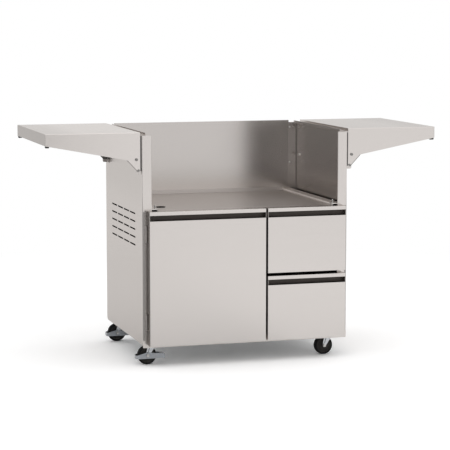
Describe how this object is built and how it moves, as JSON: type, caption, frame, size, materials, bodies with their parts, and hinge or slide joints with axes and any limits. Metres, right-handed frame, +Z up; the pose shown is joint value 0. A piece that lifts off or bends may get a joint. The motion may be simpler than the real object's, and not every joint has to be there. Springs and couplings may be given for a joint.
{
  "type": "grill cart",
  "caption": "Stainless steel grill cart: an open bay for a grill head above a hinged door and stacked drawers, with folding side shelves and swivel casters.",
  "frame": {"origin": "on the floor under the middle of the cart", "axes": "+X to the right seen from the front, along the shelves; +Y to the rear; +Z up"},
  "size_m": [1.591, 0.663, 0.914],
  "materials": {
    "stainless": "brushed",
    "zinc_steel": "zinc plated",
    "fastener_steel": "satin",
    "black_coat": "satin",
    "black_rubber": "matte",
    "caster_tread": "matte",
    "catch_plastic": "matte"
  },
  "bodies": {
    "cabinet": {"right_side_panel": "stainless", "left_side_panel": "stainless", "back_panel": "stainless", "base_pan": "stainless", "base_front_ledge": "stainless", "divider_panel": "stainless", "front_cross_rail": "stainless", "deck_pan": "stainless", "deck_rails": "stainless", "deck_clips": "fastener_steel", "deck_clip_studs": "fastener_steel", "door_hinge_frame_leaves": "fastener_steel", "door_hinge_pins": "fastener_steel", "door_magnet": "catch_plastic", "drawer_slide_outers": "zinc_steel", "slide_support_rails": "stainless", "shelf_brackets": "black_coat", "shelf_bracket_bolts": "fastener_steel", "shelf_pivot_pins": "fastener_steel", "caster_plates": "zinc_steel"},
    "door": {"door_skin": "stainless", "door_pull_channel": "black_coat", "door_liner": "stainless", "door_hinge_door_leaves": "fastener_steel", "door_strike_plate": "zinc_steel"},
    "upper_drawer": {"upper_drawer_skin": "stainless", "upper_drawer_pull_channel": "black_coat", "upper_drawer_liner": "stainless", "upper_drawer_box": "stainless", "upper_drawer_slide_inners": "zinc_steel"},
    "upper_drawer_middle_slides": {"upper_drawer_slide_middles": "zinc_steel"},
    "lower_drawer": {"lower_drawer_skin": "stainless", "lower_drawer_pull_channel": "black_coat", "lower_drawer_liner": "stainless", "lower_drawer_box": "stainless", "lower_drawer_slide_inners": "zinc_steel"},
    "lower_drawer_middle_slides": {"lower_drawer_slide_middles": "zinc_steel"},
    "left_shelf": {"left_shelf_pan": "stainless", "left_shelf_stiffener": "stainless", "left_shelf_bumpers": "black_rubber", "left_shelf_lock_bolts": "fastener_steel"},
    "right_shelf": {"right_shelf_pan": "stainless", "right_shelf_stiffener": "stainless", "right_shelf_bumpers": "black_rubber", "right_shelf_lock_bolts": "fastener_steel"},
    "front_left_caster": {"front_left_caster_fork": "zinc_steel", "front_left_caster_axle": "fastener_steel"},
    "front_left_wheel": {"front_left_caster_wheel": "caster_tread"},
    "front_right_caster": {"front_right_caster_fork": "zinc_steel", "front_right_caster_axle": "fastener_steel"},
    "front_right_wheel": {"front_right_caster_wheel": "caster_tread"},
    "rear_left_caster": {"rear_left_caster_fork": "zinc_steel", "rear_left_caster_axle": "fastener_steel"},
    "rear_left_wheel": {"rear_left_caster_wheel": "caster_tread"},
    "rear_right_caster": {"rear_right_caster_fork": "zinc_steel", "rear_right_caster_axle": "fastener_steel"},
    "rear_right_wheel": {"rear_right_caster_wheel": "caster_tread"},
    "front_left_brake": {"front_left_brake_bail": "zinc_steel"},
    "rear_left_brake": {"rear_left_brake_bail": "zinc_steel"}
  },
  "joints": [
    {"name": "door_swing", "type": "hinge", "parent": "cabinet", "child": "door", "pos_m": [-0.405, -0.2921, 0.3475], "axis": [0, 0, -1], "range_deg": [0, 90]},
    {"name": "upper_drawer_slide", "type": "slide", "parent": "cabinet", "child": "upper_drawer", "axis": [0, -1, 0], "range_m": [0, 0.43]},
    {"name": "upper_drawer_middle_slide", "type": "slide", "parent": "cabinet", "child": "upper_drawer_middle_slides", "axis": [0, -1, 0], "range_m": [0, 0.215]},
    {"name": "lower_drawer_slide", "type": "slide", "parent": "cabinet", "child": "lower_drawer", "axis": [0, -1, 0], "range_m": [0, 0.43]},
    {"name": "lower_drawer_middle_slide", "type": "slide", "parent": "cabinet", "child": "lower_drawer_middle_slides", "axis": [0, -1, 0], "range_m": [0, 0.215]},
    {"name": "left_shelf_fold", "type": "hinge", "parent": "cabinet", "child": "left_shelf", "pos_m": [-0.432, 0.009, 0.768], "axis": [0, -1, 0], "range_deg": [0, 106]},
    {"name": "right_shelf_fold", "type": "hinge", "parent": "cabinet", "child": "right_shelf", "pos_m": [0.432, 0.009, 0.768], "axis": [0, 1, 0], "range_deg": [0, 106]},
    {"name": "front_left_swivel", "type": "hinge", "parent": "cabinet", "child": "front_left_caster", "pos_m": [-0.367, -0.2355, 0.09], "axis": [0, 0, 1], "continuous": true},
    {"name": "front_left_wheel_spin", "type": "hinge", "parent": "front_left_caster", "child": "front_left_wheel", "pos_m": [-0.392, -0.2355, 0.0375], "axis": [0, 1, 0], "continuous": true},
    {"name": "front_left_brake_release", "type": "hinge", "parent": "front_left_caster", "child": "front_left_brake", "pos_m": [-0.392, -0.2355, 0.0375], "axis": [0, -1, 0], "range_deg": [0, 12]},
    {"name": "front_right_swivel", "type": "hinge", "parent": "cabinet", "child": "front_right_caster", "pos_m": [0.367, -0.2355, 0.09], "axis": [0, 0, 1], "continuous": true},
    {"name": "front_right_wheel_spin", "type": "hinge", "parent": "front_right_caster", "child": "front_right_wheel", "pos_m": [0.342, -0.2355, 0.0375], "axis": [0, 1, 0], "continuous": true},
    {"name": "rear_left_swivel", "type": "hinge", "parent": "cabinet", "child": "rear_left_caster", "pos_m": [-0.367, 0.2785, 0.09], "axis": [0, 0, 1], "continuous": true},
    {"name": "rear_left_wheel_spin", "type": "hinge", "parent": "rear_left_caster", "child": "rear_left_wheel", "pos_m": [-0.392, 0.2785, 0.0375], "axis": [0, 1, 0], "continuous": true},
    {"name": "rear_left_brake_release", "type": "hinge", "parent": "rear_left_caster", "child": "rear_left_brake", "pos_m": [-0.392, 0.2785, 0.0375], "axis": [0, -1, 0], "range_deg": [0, 12]},
    {"name": "rear_right_swivel", "type": "hinge", "parent": "cabinet", "child": "rear_right_caster", "pos_m": [0.367, 0.2785, 0.09], "axis": [0, 0, 1], "continuous": true},
    {"name": "rear_right_wheel_spin", "type": "hinge", "parent": "rear_right_caster", "child": "rear_right_wheel", "pos_m": [0.342, 0.2785, 0.0375], "axis": [0, 1, 0], "continuous": true}
  ],
  "couplings": [
    {"joint": "upper_drawer_middle_slide", "follows": "upper_drawer_slide", "ratio": 0.5},
    {"joint": "lower_drawer_middle_slide", "follows": "lower_drawer_slide", "ratio": 0.5}
  ]
}
